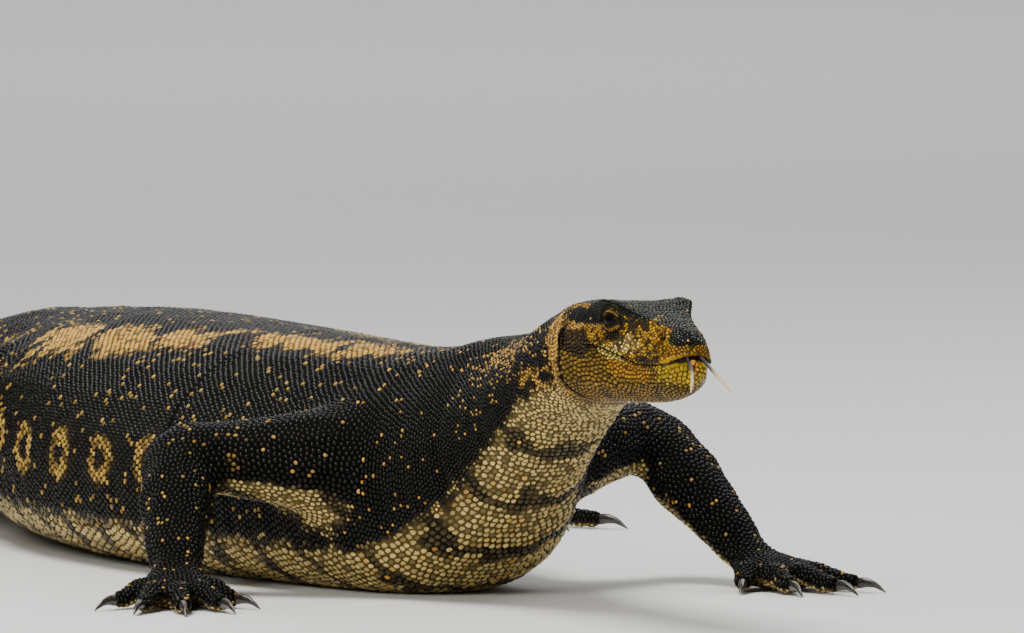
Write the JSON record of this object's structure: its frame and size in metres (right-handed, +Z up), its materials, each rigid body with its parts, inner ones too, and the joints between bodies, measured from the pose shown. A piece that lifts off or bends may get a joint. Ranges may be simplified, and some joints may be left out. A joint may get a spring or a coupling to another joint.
{
  "type": "water monitor lizard",
  "caption": "Life-size water monitor lizard lying on its belly, head and neck raised, forked tongue out, legs planted and tail in a slow wave.",
  "frame": {"origin": "on the flat of the belly, under the middle of the trunk, at floor height", "axes": "+X forward along the trunk towards the head, +Y to the animal's left, +Z up"},
  "size_m": [1.9136, 0.4851, 0.1452],
  "materials": {
    "skin": "fine beaded scales, near black with ochre and cream markings, wet sheen",
    "eye": "wet gloss, near black",
    "tongue": "moist, grey with pale tips",
    "claw": "polished dark horn"
  },
  "bodies": {
    "root": {"abdomen": "skin", "chest": "skin", "eye_left": "eye", "eye_right": "eye", "foreleg_left_claw_1": "claw", "foreleg_left_claw_2": "claw", "foreleg_left_claw_3": "claw", "foreleg_left_claw_4": "claw", "foreleg_left_claw_5": "claw", "foreleg_left_forearm": "skin", "foreleg_left_hand": "skin", "foreleg_left_upper_arm": "skin", "foreleg_right_claw_1": "claw", "foreleg_right_claw_2": "claw", "foreleg_right_claw_3": "claw", "foreleg_right_claw_4": "claw", "foreleg_right_claw_5": "claw", "foreleg_right_forearm": "skin", "foreleg_right_hand": "skin", "foreleg_right_upper_arm": "skin", "head": "skin", "hindleg_left_claw_1": "claw", "hindleg_left_claw_2": "claw", "hindleg_left_claw_3": "claw", "hindleg_left_claw_4": "claw", "hindleg_left_claw_5": "claw", "hindleg_left_foot": "skin", "hindleg_left_shank": "skin", "hindleg_left_thigh": "skin", "hindleg_right_claw_1": "claw", "hindleg_right_claw_2": "claw", "hindleg_right_claw_3": "claw", "hindleg_right_claw_4": "claw", "hindleg_right_claw_5": "claw", "hindleg_right_foot": "skin", "hindleg_right_shank": "skin", "hindleg_right_thigh": "skin", "lower_jaw": "skin", "neck": "skin", "pelvis": "skin", "tail_base": "skin", "tail_middle": "skin", "tail_rear": "skin", "tail_tip": "skin", "tongue": "tongue"}
  },
  "joints": []
}
